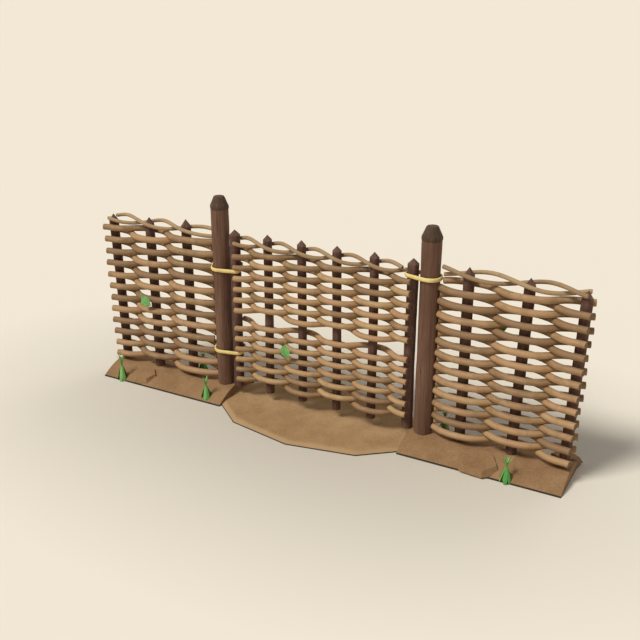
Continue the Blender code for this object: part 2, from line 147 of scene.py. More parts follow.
def shades(tree, factor, *stops):
    """Colours along a factor; each stop is (place, colour)."""
    made = add_node(tree, "ValToRGB", {"Fac": factor})
    elements = made.color_ramp.elements
    for element, (place, colour) in zip(elements, (stops[0], stops[-1])):
        element.position = place
        element.color = (*colour, 1.0)
    for place, colour in stops[1:-1]:
        elements.new(place).color = (*colour, 1.0)
    return made.outputs["Color"]


def blended(tree, factor, first, second):
    """Mix two colours, each written out or from another node."""
    made = add_node(tree, "Mix", data_type="RGBA")
    plug(tree, made.inputs[0], factor)
    for socket, value in ((made.inputs[6], first), (made.inputs[7], second)):
        plug(tree, socket, (*value, 1.0) if isinstance(value, tuple) else value)
    return made.outputs[2]


def carried(tree, name, output="Fac"):
    """What the mesh carries at its corners under a name."""
    return add_node(tree, "Attribute", attribute_name=name).outputs[output]


def start_finish(name, on_bark=False):
    """A new material, its node tree, and the place on the piece or on its bark."""
    material = bpy.data.materials.new(name)
    material.use_nodes = True
    tree = material.node_tree
    if on_bark:
        return material, tree, carried(tree, "bark", "Vector")
    return material, tree, add_node(tree, "TexCoord").outputs["Object"]


def finish_with(material, colour, specular, roughness, *layers):
    """Give a material its colour, gloss and bump.

    Roughness is (pattern, where it is low, where it is high), and a layer of bump is
    (pattern, how many metres it stands up).
    """
    tree = material.node_tree
    shader = tree.nodes["Principled BSDF"]
    pattern, where_low, where_high = roughness
    rough = spread(tree, pattern, 0.3, 0.7, where_low, where_high)
    plug(tree, shader.inputs["Base Color"], colour)
    plug(tree, shader.inputs["Roughness"], rough)
    shader.inputs["Specular IOR Level"].default_value = specular
    normal = shader.inputs["Normal"]
    for height, distance in reversed(layers):
        bump = add_node(tree, "Bump", {"Height": height, "Distance": distance, "Strength": 1.0})
        tree.links.new(bump.outputs["Normal"], normal)
        normal = bump.inputs["Normal"]
    return material


def soil_finish(name, damp, soil, dry, trodden=0.0):
    """Packed soil: patches of damp and dry, crumbs, small stones and pin holes.

    Its lowest few millimetres are darkened by painted shade, a contact shadow at its foot.
    Trodden soil is pale round its rim.
    """
    material, tree, place = start_finish(name)
    height = add_node(tree, "SeparateXYZ", {"Vector": place}).outputs[2]
    patches = grain(tree, place, 7.0, 5.0, 0.62)
    crumbs = grain(tree, place, 85.0, 6.0, 0.68)
    grit = grain(tree, place, 420.0, 2.0)
    mixed = layered(tree, (crumbs, 0.55), (patches, 0.62))
    colour = shades(tree, mixed, (0.36, damp), (0.58, soil), (0.80, dry))
    pebbles = add_node(tree, "TexVoronoi", {"Vector": place, "Scale": 62.0, "Randomness": 1.0})
    chosen = sums(tree, "GREATER_THAN", pebbles.outputs["Color"], 0.87 + 0.06 * trodden)
    near = spread(tree, pebbles.outputs["Distance"], 0.30, 0.18)
    stones = times(tree, chosen, near)
    colour = blended(tree, times(tree, stones, 0.55), colour, STONE)
    holes = spread(tree, grit, 0.36, 0.26)
    colour = blended(tree, times(tree, holes, 0.5), colour, damp)
    if trodden:
        rim = spread(tree, height, RIM_TOP, RIM_TOP - 0.004)
        colour = blended(tree, times(tree, rim, 0.75), colour, dry)
    # painted shade: the lowest few millimetres are darkened as a contact shadow at the foot
    foot_shade_top = BANK_EDGE + FOOT_SHADE_RISE * (1 - 0.6 * trodden)
    colour = blended(tree, spread(tree, height, foot_shade_top, foot_shade_top - 0.001), colour, FOOT_PAINTED_SHADE)
    relief = ((patches, 0.006 - 0.003 * trodden), (crumbs, 0.0042 - 0.002 * trodden))
    relief += ((stones, 0.0030), (grit, 0.0007))
    return finish_with(material, colour, 0.22, (crumbs, 0.96, 0.84), *relief)


def uneven(place, size, height, seed):
    """A smooth bump and hollow pattern, size across and up to height tall."""
    return noise.noise(Vector(place) / size + Vector((seed, 3.1 * seed, 7.7))) * height


def make_piece(name, bm, body, finishes, stands_for, sharp=38):
    """Turn a finished mesh into a piece of the object."""
    mesh = bpy.data.meshes.new(name)
    bm.normal_update()
    bm.to_mesh(mesh)
    bm.free()
    mesh.shade_smooth()
    mesh.set_sharp_from_angle(angle=math.radians(sharp))
    for finish in finishes:
        mesh.materials.append(finish)
    piece = bpy.data.objects.new(name, mesh)
    bpy.context.scene.collection.objects.link(piece)
    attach(piece, body)
    if stands_for:
        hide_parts(*stands_for)


def cut_through(bm, point, normal, clear=False):
    """Cut a mesh with a plane, and if asked clear what is in front of it."""
    whole = bm.verts[:] + bm.edges[:] + bm.faces[:]
    bmesh.ops.bisect_plane(
        bm, geom=whole, plane_co=point, plane_no=normal, clear_outer=clear, dist=1e-6
    )


def earth_sheet(low, high, cell, outline, creases, height_at):
    """Ground of fine cells, trimmed to an outline, raised, and closed down to the floor."""
    bm = bmesh.new()
    size = high - low
    cells = [max(2, round(length / cell)) for length in (size.x, size.y)]
    middle = Matrix.Translation(((low.x + high.x) / 2, (low.y + high.y) / 2, 0.0))
    scale = Matrix.Diagonal((size.x, size.y, 1.0, 1.0))
    bmesh.ops.create_grid(
        bm, x_segments=cells[0], y_segments=cells[1], size=0.5, matrix=middle @ scale
    )
    for point, normal in outline:
        cut_through(bm, point, normal, clear=True)
    for point, normal in creases:
        cut_through(bm, point, normal)
    for corner in bm.verts:
        corner.co.z = height_at(corner.co)
    rim = [edge for edge in bm.edges if edge.is_boundary]
    walls = bmesh.ops.extrude_edge_only(bm, edges=rim)["geom"]
    feet = [v for v in walls if isinstance(v, bmesh.types.BMVert)]
    for foot in feet:
        foot.co.z = low.z
    under = [e for e in bm.edges if e.is_boundary]
    bmesh.ops.contextual_create(bm, geom=under)
    bmesh.ops.recalc_face_normals(bm, faces=bm.faces)
    return bm


def middle_of(node):
    """The centre of an upright's foot, and its tip, read from the CAD node."""
    corners = [v.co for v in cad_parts[node].data.vertices]
    lowest = min(corner.z for corner in corners)
    ring = [corner for corner in corners if corner.z < lowest + 0.02]
    xs = [corner.x for corner in ring]
    foot = Vector(((min(xs) + max(xs)) / 2, 0.0, lowest))
    highest = max(corners, key=lambda corner: corner.z)
    return foot, Vector((highest.x, 0.0, highest.z))


def arch(y, half_width, top):
    """A bank's height at a distance from its middle line, also as a share of its rise."""
    share = 1 - (min(abs(y), half_width) / half_width) ** 2
    return BANK_EDGE + (top - BANK_EDGE) * share, share


bank_soil = soil_finish("bank_soil", SOIL_DAMP, SOIL, SOIL_DRY)
for side, post in (("left", "heel_post"), ("right", "latch_post")):
    low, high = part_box(f"{side}_bank")
    half_width = (high.y - low.y) / 2
    planted = [(middle_of(post)[0], POST_COLLAR)]
    planted += [(middle_of(f"{side}_stake_{i}")[0], STAKE_COLLAR) for i in (1, 2, 3)]

    def bank_height(place):
        """The arch, slightly uneven, with soil rammed up round each post and stake."""
        height, share = arch(place.y, half_width, high.z)
        fade = min(1.0, BANK_FADE * share)
        height += fade * (uneven(place, *BANK_SWELLS) + uneven(place, *BANK_LUMPS))
        for centre, radius in planted:
            away = math.hypot(place.x - centre.x, place.y) - radius
            nearness = min(1.0, max(0.0, 1 - away / COLLAR_REACH))
            height += COLLAR_RISE * nearness**2
        return height

    creases = []
    for i in range(1, BANK_CREASES + 1):
        place = half_width * (1 - 2 * i / (BANK_CREASES + 1))
        creases.append(((0.0, place, 0.0), (0.0, 1.0, 0.0)))
    bm = earth_sheet(low, high, BANK_CELL, [], creases, bank_height)
    make_piece(f"earth_{side}", bm, "root", [bank_soil], [f"{side}_bank"], 50)


# Worn patch
# The ground in the gateway, trodden bare and hard by the sheep. Its edge slopes down
# to the floor all round, and is paler than the middle.

PATCH_POINT = 0.0993  # the outline's corners past the CAD box
PATCH_SIDES = 10
PATCH_RIM = 0.040
PATCH_CELL = 0.016
TRODDEN = (0.381, 0.231, 0.106)
TRODDEN_DAMP = (0.289, 0.166, 0.072)
TRODDEN_DRY = (0.463, 0.299, 0.149)
HOOF_HOLLOWS = (0.13, 0.0028, 9.0)
TRODDEN_LUMPS = (0.045, 0.00098, 4.0)
TRODDEN_SINK = 0.0006

low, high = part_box("worn_patch")
half_sizes = (high.x + PATCH_POINT, high.y)
corners = []
for i in range(PATCH_SIDES):
    angle = 2 * math.pi * i / PATCH_SIDES
    corners.append(Vector((half_sizes[0] * math.sin(angle), half_sizes[1] * math.cos(angle), 0.0)))
outline = []
for here, there in zip(corners, corners[1:] + corners[:1]):
    along = (there - here).normalized()
    outline.append((here, Vector((-along.y, along.x, 0.0))))
inner = [(point - normal * PATCH_RIM, normal) for point, normal in outline]


def patch_height(place):
    """Level and slightly hollowed, with a slope round its rim."""
    from_edge = min((point - place).dot(normal) for point, normal in outline)
    share = min(1.0, max(0.0, from_edge / PATCH_RIM))
    trodden = uneven(place, *HOOF_HOLLOWS) + uneven(place, *TRODDEN_LUMPS) - TRODDEN_SINK
    return BANK_EDGE + (high.z - BANK_EDGE + trodden) * share


trodden_soil = soil_finish("trodden_soil", TRODDEN_DAMP, TRODDEN, TRODDEN_DRY, trodden=1.0)
bm = earth_sheet(low, high, PATCH_CELL, outline, inner, patch_height)
make_piece("trodden_ground", bm, "root", [trodden_soil], ["worn_patch"], 25)


# Clods
# Three spadefuls of the same soil that were left lying on the banks. Each is a flat
# slab with broken edges that follows the slope it lies on.

CLOD_SIDES = 6
CLOD_CUTS = 5
CLOD_TOP = 0.82  # radius of its top over that of its foot
CLOD_RAGGED = (0.04, 0.004)
CLOD_LUMPY = (0.03, 0.003)
CLOD_THINNEST = 0.15  # share of its height that the fall leaves
# name, middle, half sizes along X and Y, height of the foot and of the top's middle,
# fall of the top towards the front, turn in degrees
CLODS = (
    ("clod_left", (-1.305, -0.138), (0.108, 0.074), 0.010, 0.063, 0.30, 8),
    ("clod_right", (1.108, -0.140), (0.140, 0.106), 0.009, 0.063, 0.26, -6),
    ("clod_far", (1.530, 0.175), (0.098, 0.080), 0.010, 0.050, -0.20, 20),
)


def draw_up(bm, centre, rise, share, underside=False):
    """Extrude the top face, scale it, and keep the old one only as an underside."""
    top = max(bm.faces, key=lambda face: face.calc_center_median().z)
    made = bmesh.ops.extrude_face_region(bm, geom=[top])["geom"]
    if not underside:
        bmesh.ops.delete(bm, geom=[top], context="FACES_ONLY")
    verts = [v for v in made if isinstance(v, bmesh.types.BMVert)]
    shrink = centre @ Matrix.Diagonal((share, share, 1.0, 1.0)) @ centre.inverted()
    lift = Matrix.Translation((0.0, 0.0, rise))
    bmesh.ops.transform(bm, matrix=lift @ shrink, verts=verts)


def clod_lump(middle, half_sizes, foot, top_height, turn):
    """A hexagonal slab, upright at its edge and drawn in on top, sunk in the bank."""
    spin = Matrix.Rotation(math.radians(turn), 4, "Z")
    corner_along_x = Matrix.Rotation(math.pi / 2, 4, "Z")
    centre = Matrix.Translation((*middle, foot))
    bm = bmesh.new()
    base = centre @ spin @ Matrix.Diagonal((*half_sizes, 1.0, 1.0)) @ corner_along_x
    bmesh.ops.create_circle(bm, cap_ends=True, segments=CLOD_SIDES, radius=1.0, matrix=base)
    draw_up(bm, centre, BANK_EDGE, 1.0, underside=True)
    draw_up(bm, centre, top_height - foot - BANK_EDGE, CLOD_TOP)
    return bm


for number, (node, middle, half_sizes, foot, top_height, fall, turn) in enumerate(CLODS):
    bm = clod_lump(middle, half_sizes, foot, top_height, turn)
    bmesh.ops.triangulate(bm, faces=[face for face in bm.faces if len(face.verts) > 4])
    bmesh.ops.subdivide_edges(bm, edges=bm.edges, cuts=CLOD_CUTS, use_grid_fill=True)
    bmesh.ops.triangulate(bm, faces=bm.faces)
    for vert in bm.verts:
        vert.co.x += uneven(vert.co, *CLOD_RAGGED, number)
        vert.co.y += uneven(vert.co, *CLOD_RAGGED, number + 20.0)
        above = vert.co.z > foot + BANK_EDGE + 0.001
        vert.co.z += uneven(vert.co, *CLOD_LUMPY, number + 40.0) * above
        tilt = 1 + fall * (vert.co.y - middle[1]) / (top_height - foot)
        vert.co.z = foot + (vert.co.z - foot) * max(CLOD_THINNEST, tilt)
    bmesh.ops.recalc_face_normals(bm, faces=bm.faces)
    make_piece(f"spadeful_{number + 1}", bm, "root", [bank_soil], [node], 30)


# Posts
# Two stout posts, hewn to eight sides out of round trunks and set in the banks. Old
# dark wood with its bark off: long grain, drying checks, and worn arrises.

POST_RADIUS = 0.0595
POST_SIDES = 8
ARRIS = 0.010
POST_RINGS = 70
POST_FLUTES = (0.030, 0.0012)
FLUTES_SHORT = 0.25  # they run up: Z counts for less
POST_SWELLS = (0.16, 0.0016)
POST_PROUD = 0.0008  # the most that wood stands out
CAP_SEAT = 0.0003  # left open under the cap
POST_WOOD = (0.154, 0.077, 0.046)
POST_DARK = (0.092, 0.045, 0.026)
POST_PALE = (0.215, 0.117, 0.073)
CHECK_DARK = (0.020, 0.012, 0.008)


def wood_finish(name, dark, middle, pale, checks, fibre=70.0):
    """Weathered wood along Z: fibre, bands and clouds of colour, and drying checks."""
    material, tree, place = start_finish(name)
    fine = grain(tree, place, fibre, 5.0, 0.6, (1.0, 1.0, 0.05))
    bands = grain(tree, place, 16.0, 3.0, 0.5, (1.0, 1.0, 0.12))
    clouds = grain(tree, place, 5.0, 4.0, 0.55)
    mixed = layered(tree, (fine, 0.42), (bands, 0.34), (clouds, 0.30))
    colour = shades(tree, mixed, (0.38, dark), (0.54, middle), (0.70, pale))
    cracks = grain(tree, place, 34.0, 2.0, 0.4, (1.0, 1.0, 0.030))
    lines = spread(tree, sums(tree, "ABSOLUTE", sums(tree, "SUBTRACT", cracks, 0.5)), 0.012, 0.0)
    lines = times(tree, lines, spread(tree, clouds, 0.42, 0.58))
    colour = blended(tree, times(tree, lines, checks), colour, CHECK_DARK)
    deep = sums(tree, "SUBTRACT", 1.0, lines)
    relief = ((bands, 0.0030), (fine, 0.0016), (deep, 0.0020 * checks))
    return finish_with(material, colour, 0.30, (fine, 0.88, 0.70), *relief)


def add_bar(bm, sides, radius, length, base=Matrix(), capped=True):
    """A straight bar that stands on a base."""
    middle = base @ Matrix.Translation((0.0, 0.0, length / 2))
    ends = {"cap_ends": capped, "radius1": radius, "radius2": radius}
    bmesh.ops.create_cone(bm, segments=sides, depth=length, matrix=middle, **ends)


def ring_cut(bm, low, high, count):
    """Cut a tall piece into rings of faces at even heights."""
    for i in range(1, count):
        height = low + (high - low) * i / count
        cut_through(bm, (0.0, 0.0, height), (0.0, 0.0, 1.0))


def bevelled(bm, edges, offset, segments):
    """Round off edges."""
    how = {"profile": 0.5, "affect": "EDGES", "material": -1}
    bmesh.ops.bevel(bm, geom=edges, offset=offset, segments=segments, **how)


post_wood = wood_finish("post_wood", POST_DARK, POST_WOOD, POST_PALE, checks=0.75)
flats = Matrix.Rotation(math.pi / POST_SIDES, 4, "Z")
for number, node in enumerate(("heel_post", "latch_post")):
    foot, _ = middle_of(node)
    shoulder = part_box(f"{node}_cap")[0].z - CAP_SEAT
    bm = bmesh.new()
    add_bar(bm, POST_SIDES, POST_RADIUS, shoulder - foot.z, Matrix.Translation(foot) @ flats)
    arrises = [e for e in bm.edges if abs(e.verts[0].co.z - e.verts[1].co.z) > 0.1]
    bevelled(bm, arrises, ARRIS, 3)
    ring_cut(bm, foot.z, shoulder, POST_RINGS)
    for vert in bm.verts:
        flat = Vector((vert.co.x - foot.x, vert.co.y, 0.0))
        tall = Vector((vert.co.x, vert.co.y, vert.co.z * FLUTES_SHORT))
        out = uneven(tall, *POST_FLUTES, number) + uneven(vert.co, *POST_SWELLS, number + 8.0)
        vert.co += flat.normalized() * (min(out, POST_PROUD) if flat.length > 0.01 else 0.0)
    make_piece(f"{node}_trunk", bm, "root", [post_wood], [node])


# Caps
# A tapered cap of darker wood sheds the rain from each post's end grain. It is cut from
# one block, chamfered round its top, and held by a round tenon.

CAP_RADIUS = 0.0605
CAP_BAND = 0.020
CAP_TOP_RADIUS = 0.034
CAP_WOOD = (0.078, 0.044, 0.027)
CAP_DARK = (0.050, 0.028, 0.017)
CAP_PALE = (0.112, 0.067, 0.042)
CAP_BEVEL = 0.0035
CAP_RINGS = 10
CAP_DENTS = (0.03, 0.0008)

cap_wood = wood_finish("cap_wood", CAP_DARK, CAP_WOOD, CAP_PALE, checks=0.4, fibre=110.0)
for number, node in enumerate(("heel_post_cap", "latch_post_cap")):
    low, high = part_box(node)
    middle = Matrix.Translation(middle_of(node)[0])
    bm = bmesh.new()
    bmesh.ops.create_circle(
        bm, cap_ends=True, segments=POST_SIDES, radius=CAP_RADIUS, matrix=middle @ flats
    )
    draw_up(bm, middle, CAP_BAND, 1.0, underside=True)
    draw_up(bm, middle, high.z - low.z - CAP_BAND, CAP_TOP_RADIUS / CAP_RADIUS)
    bmesh.ops.recalc_face_normals(bm, faces=bm.faces)
    bevelled(bm, bm.edges[:], CAP_BEVEL, 2)
    ring_cut(bm, low.z, high.z, CAP_RINGS)
    for vert in bm.verts:
        vert.co.x += uneven(vert.co, *CAP_DENTS, number)
        vert.co.y += uneven(vert.co, *CAP_DENTS, number + 5.0)
    make_piece(f"{node}_block", bm, "root", [cap_wood], [node], 30)


# Uprights and stakes
# The six uprights of the gate, and three stakes in each panel, are straight poles with
# their dark bark on. Each was pointed with a few strokes of a billhook.

POLE_SIDES = 18
POLE_RING = 0.022
POINT_CUTS = 6
CUT_ASTRAY = 0.25  # from a cut's even place, in places
CUT_STEEPER = 0.12
TIP_BLUNT = 0.0006
BARK_RIDGES = (0.013, 0.0011)
RIDGES_SHORT = 0.22
POLE_SWELLS = (0.12, 0.0016)
POLE_BEND = 0.002
POLE_BEND_PACE = 4.0
POLE_FILL = 0.517  # radius as a share of the CAD pole's width
STAKE_BARK = (0.118, 0.058, 0.040)
STAKE_DARK = (0.066, 0.033, 0.022)
STAKE_PALE = (0.170, 0.092, 0.062)
HEWN_WOOD = (0.140, 0.072, 0.050)
UPRIGHT_POINT = 0.034
STAKE_POINT = 0.050


def hewn_pole(foot, tip, radius, point_height, seed):
    """A round pole between two points, with flat cuts that meet in its tip."""
    along = tip - foot
    placing = Matrix.Translation(foot) @ along.to_track_quat("Z", "Y").to_matrix().to_4x4()
    length = along.length
    bm = bmesh.new()
    add_bar(bm, POLE_SIDES, radius, length)
    ring_cut(bm, 0.0, length, round(length / POLE_RING))
    for vert in bm.verts:
        flat = Vector((vert.co.x, vert.co.y, 0.0))
        ridges = Vector((vert.co.x, vert.co.y, vert.co.z * RIDGES_SHORT))
        out = uneven(ridges, *BARK_RIDGES, seed) + uneven(vert.co, *POLE_SWELLS, seed + 9.0)
        vert.co += flat.normalized() * out if flat.length > 0.005 else Vector()
        vert.co.x += POLE_BEND * math.sin(vert.co.z * POLE_BEND_PACE + seed)
    draw = random.Random(seed)
    for i in range(POINT_CUTS):
        angle = 2 * math.pi * (i + CUT_ASTRAY * draw.random()) / POINT_CUTS + seed
        slope = math.atan2(radius, point_height * (1.0 + CUT_STEEPER * draw.random()))
        level = math.cos(slope)
        normal = Vector((math.cos(angle) * level, math.sin(angle) * level, math.sin(slope)))
        shift = POLE_BEND * math.sin(length * POLE_BEND_PACE + seed)
        cut_through(bm, Vector((shift, 0.0, length - TIP_BLUNT)), normal, clear=True)
        open_edges = [e for e in bm.edges if e.is_boundary]
        if open_edges:
            for hewn in bmesh.ops.contextual_create(bm, geom=open_edges)["faces"]:
                hewn.material_index = 1
    bmesh.ops.transform(bm, matrix=placing, verts=bm.verts)
    bmesh.ops.recalc_face_normals(bm, faces=bm.faces)
    return bm


def bark_finish(name):
    """Rough bark along Z: ridges with dark furrows, flakes and faint rings."""
    material, tree, place = start_finish(name)
    ridges = grain(tree, place, 90.0, 4.0, 0.6, (1.0, 1.0, 0.16))
    flakes = grain(tree, place, 26.0, 4.0, 0.6, (1.0, 1.0, 0.5))
    rings = grain(tree, place, 30.0, 2.0, 0.5, (0.12, 0.12, 3.2))
    mixed = layered(tree, (ridges, 0.50), (flakes, 0.36), (rings, 0.16))
    colour = shades(tree, mixed, (0.38, STAKE_DARK), (0.53, STAKE_BARK), (0.68, STAKE_PALE))
    relief = ((flakes, 0.0030), (ridges, 0.0020), (rings, 0.0007))
    return finish_with(material, colour, 0.28, (ridges, 0.90, 0.74), *relief)


stake_bark = bark_finish("stake_bark")
hewn_wood = wood_finish("hewn_wood", STAKE_DARK, HEWN_WOOD, POST_WOOD, checks=0.3, fibre=120.0)
gate_poles = ["heel_stile"] + [f"gate_upright_{i}" for i in range(1, 5)] + ["latch_stile"]
panel_stakes = {side: [f"{side}_stake_{i}" for i in (1, 2, 3)] for side in ("left", "right")}
pole_radius = {}
for number, node in enumerate(gate_poles + panel_stakes["left"] + panel_stakes["right"]):
    low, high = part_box(node)
    pole_radius[node] = POLE_FILL * (high.y - low.y)
    foot, tip = middle_of(node)
    point, body = (UPRIGHT_POINT, "gate") if node in gate_poles else (STAKE_POINT, "root")
    bm = hewn_pole(foot, tip, pole_radius[node], point, number + 1.0)
    make_piece(f"{node}_pole", bm, body, [stake_bark, hewn_wood], [node], 26)


# Woven rods
# Long hazel rods, as thick as a thumb or a little more, wound in front of one upright
# and behind the next and pressed down on the row below. The bark is on; the ends are sawn.

ROD_SIDES = 14
ROD_RING = 0.011
ROD_SHARE = 0.955  # of the CAD rods' corner radius
ROD_TAPER = 0.05
ROD_UNEVEN = 0.030
ROD_UNEVEN_PACE = 9.0
BUD_SPACING = 0.260
BUD_SWELL = 0.030
BUD_LENGTH = 0.006
PATTERN_STEP = 3.7  # between two rods, in the pattern of the bark
SAW_CHAMFER = 0.0014
TAIL_SPREAD = 0.45  # slope at which a rod leaves the outer stake
TAIL_EASE = 0.050  # length in which it takes it up
PANEL_BROWNER = 0.30  # the panels' rods are older
PRESSED = 0.0003  # into the bark of an upright
ROD_STIFFNESS = 0.055
ROD_WINDOW = 0.7  # how near a CAD corner belongs to a rod, in radii
PARTS = ("gate", "left", "right")
GATE_ROD = 0.0185  # corner radius of the gate's CAD rods
PANEL_RODS = (("left", 0.0218, 23), ("right", 0.0209, 24))  # corner radius and number
ROD_TONES = (
    (0.00, (0.480, 0.312, 0.146)),
    (0.28, (0.415, 0.252, 0.114)),
    (0.50, (0.430, 0.246, 0.119)),
    (0.74, (0.330, 0.199, 0.090)),
    (1.00, (0.258, 0.148, 0.068)),
)
ROD_SCAR = (0.170, 0.098, 0.050)
ROD_PORE = (0.620, 0.480, 0.300)
SAWN = (0.300, 0.190, 0.105)
SAWN_DARK = (0.160, 0.095, 0.052)


def rod_finish(name, tones, roughness):
    """Smooth thin bark that follows the rod: its own tone, streaks, specks and scars."""
    material, tree, bark = start_finish(name, on_bark=True)
    tone = carried(tree, "tone")
    swell = carried(tree, "bud")
    slow = grain(tree, bark, 9.0, 3.0, 0.5)
    streaks = grain(tree, bark, 210.0, 4.0, 0.6, (1.0, 1.0, 0.045))
    mottle = grain(tree, bark, 60.0, 4.0, 0.6, (1.0, 1.0, 0.5))
    mixed = layered(tree, (tone, 1.0), (slow, 1.1), (mottle, 0.9), (streaks, 0.5), start=-1.25)
    colour = shades(tree, mixed, *tones)
    drawn = add_node(tree, "Mapping", {"Vector": bark, "Scale": (1.0, 1.0, 0.55)}).outputs[0]
    specks = add_node(tree, "TexVoronoi", {"Vector": drawn, "Scale": 260.0})
    pores = sums(tree, "GREATER_THAN", specks.outputs["Color"], 0.70)
    pores = times(tree, pores, spread(tree, specks.outputs["Distance"], 0.34, 0.20))
    colour = blended(tree, times(tree, pores, 0.45), colour, ROD_PORE)
    colour = blended(tree, times(tree, swell, 0.25), colour, ROD_SCAR)
    rough = (streaks, roughness + 0.08, roughness - 0.06)
    relief = ((mottle, 0.0012), (streaks, 0.0006), (pores, 0.0005))
    return finish_with(material, colour, 0.35, rough, *relief)


def sawn_finish(name):
    """End grain: yearly rings round the pith, and fine pores."""
    material, tree, bark = start_finish(name, on_bark=True)
    parts = add_node(tree, "SeparateXYZ", {"Vector": bark})
    flat = {"X": parts.outputs[0], "Y": parts.outputs[1]}
    across = add_node(tree, "CombineXYZ", flat).outputs[0]
    from_pith = add_node(tree, "VectorMath", {0: across}, operation="LENGTH").outputs["Value"]
    wobble = grain(tree, across, 90.0, 2.0)
    ringed = sums(tree, "MULTIPLY_ADD", wobble, 6.0, times(tree, from_pith, 2600.0))
    ringed = spread(tree, sums(tree, "SINE", ringed), -1.0, 1.0)
    fine = grain(tree, across, 700.0, 3.0)
    mixed = layered(tree, (fine, 0.5), (ringed, 0.5))
    colour = shades(tree, mixed, (0.25, SAWN_DARK), (0.75, SAWN))
    colour = blended(tree, spread(tree, from_pith, 0.0150, 0.0175), colour, SAWN_DARK)
    relief = ((ringed, 0.0004), (fine, 0.0004))
    return finish_with(material, colour, 0.2, (fine, 0.9, 0.8), *relief)


def start_rods():
    """An empty mesh with what the bark follows: its place, the rod's tone and its buds."""
    bm = bmesh.new()
    bm.verts.layers.float_vector.new("bark")
    bm.verts.layers.float.new("tone")
    bm.verts.layers.float.new("bud")
    return bm


def cut_along(bm, cuts):
    """Cut a straight piece, one long, into rings of faces."""
    long_edges = [e for e in bm.edges if abs(e.verts[0].co.z - e.verts[1].co.z) > 0.9]
    bmesh.ops.subdivide_edges(bm, edges=long_edges, cuts=cuts, use_grid_fill=True)


def gathered(parts):
    """One mesh from several, with their attributes."""
    whole = start_rods()
    for part in parts:
        mesh = bpy.data.meshes.new("part")
        part.to_mesh(mesh)
        part.free()
        whole.from_mesh(mesh)
        bpy.data.meshes.remove(mesh)
    return whole


def bend_at(line, where, step):
    """The place on a line, and the directions across it and up from it."""
    along = (line(where + step) - line(where - step)).normalized()
    side = along.cross(Vector((0.0, 0.0, 1.0))).normalized()
    return line(where), side, side.cross(along)


def wound_rod(start, end, line, radius, seed, browner=0.0):
    """A round rod, made straight and bent onto a line that is given for each X."""
    bm = start_rods()
    add_bar(bm, ROD_SIDES, radius, 1.0)
    ends = [face for face in bm.faces if len(face.verts) == ROD_SIDES]
    for face in ends:
        face.material_index = 1
    bevelled(bm, [edge for face in ends for edge in face.edges], SAW_CHAMFER, 1)
    cut_along(bm, round((end - start) / ROD_RING))
    bark = bm.verts.layers.float_vector["bark"]
    tone = bm.verts.layers.float["tone"]
    bud = bm.verts.layers.float["bud"]
    draw = random.Random(seed)
    own_tone = draw.random() + browner
    bud_count = int((end - start) / BUD_SPACING)
    buds = [start + BUD_SPACING * (i + draw.random()) for i in range(bud_count)]
    taper = ROD_TAPER if draw.random() < 0.5 else -ROD_TAPER
    offset = PATTERN_STEP * seed
    frames = {}
    for vert in bm.verts:
        share = vert.co.z
        key = round(share, 5)
        if key not in frames:
            x = start + (end - start) * share
            here, side, up = bend_at(line, x, 0.001)
            swell = max([0.0] + [math.exp(-(((x - b) / BUD_LENGTH) ** 2)) for b in buds])
            thick = 1 + taper * (0.5 - share)
            thick += ROD_UNEVEN * noise.noise(Vector((x * ROD_UNEVEN_PACE, offset, 0.0)))
            frames[key] = (here, side, up, swell, thick + BUD_SWELL * swell, x)
        here, side, up, swell, thick, x = frames[key]
        flat_x, flat_y = vert.co.x, vert.co.y
        vert[bark] = (flat_x, flat_y, x + offset)
        vert[tone] = own_tone
        vert[bud] = swell
        vert.co = here + (side * flat_x + up * flat_y) * thick
    # side and up turn the other way round the rod than X and Y round the cone
    bmesh.ops.reverse_faces(bm, faces=bm.faces)
    return bm


def weave_line(stops, height, front_first, stiffness, rise=0.0):
    """The middle line of a rod that swings from one side of the stops to the other.

    A stop is (place along X, reach from the middle plane). A stiff rod lies straight along
    a stop for longer and crosses over in less length. Past the first and the last stop it
    runs on and spreads away from the middle plane.
    """
    turn = 0.0 if front_first else math.pi

    def line(x):
        """The place at X, between stop k and the next."""
        k = 0
        while k + 2 < len(stops) and x > stops[k + 1][0]:
            k += 1
        share = (x - stops[k][0]) / (stops[k + 1][0] - stops[k][0])
        held = min(1.0, max(0.0, share))
        past = max(0.0, stops[0][0] - x, x - stops[-1][0])
        reach = stops[k][1] + (stops[k + 1][1] - stops[k][1]) * held
        reach += TAIL_SPREAD * past**2 / (past + TAIL_EASE)
        eased = held - stiffness * math.sin(2 * math.pi * held)
        angle = turn + math.pi * (k + eased)
        return Vector((x, -reach * math.cos(angle), height - rise * math.sin(angle)))

    return line


def rod_heights(node, count, corner_radius):
    """The middle heights of the rods in one CAD bundle."""
    low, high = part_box(node)
    bottom, top = low.z + corner_radius, high.z - corner_radius
    return [bottom + (top - bottom) * i / max(1, count - 1) for i in range(count)]


def rod_ends(node, height, window):
    """Where the rod at this height begins and ends, read from the CAD bundle."""
    xs = [v.co.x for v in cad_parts[node].data.vertices if abs(v.co.z - height) < window]
    return min(xs), max(xs)


def stake_at(node, height):
    """Where a leaning stake stands along X at a height."""
    foot, tip = middle_of(node)
    return foot.x + (tip.x - foot.x) * (height - foot.z) / (tip.z - foot.z)


def stops_at(part, height, radius):
    """The uprights that a rod passes at a height, as the stops of its line.

    A panel's rod also aims at a place beyond the post, so that it crosses the middle
    plane where it meets the post's face.
    """
    poles = gate_poles if part == "gate" else panel_stakes[part]
    stops = sorted((stake_at(p, height), pole_radius[p] + radius - PRESSED) for p in poles)
    if part != "gate":
        inner = min(stops, key=lambda stop: abs(stop[0]))
        side = math.copysign(1.0, inner[0])
        face = side * (abs(middle_of("heel_post")[0].x) + POST_RADIUS)
        stops.append((2 * face - inner[0], inner[1]))
    return sorted(stops)


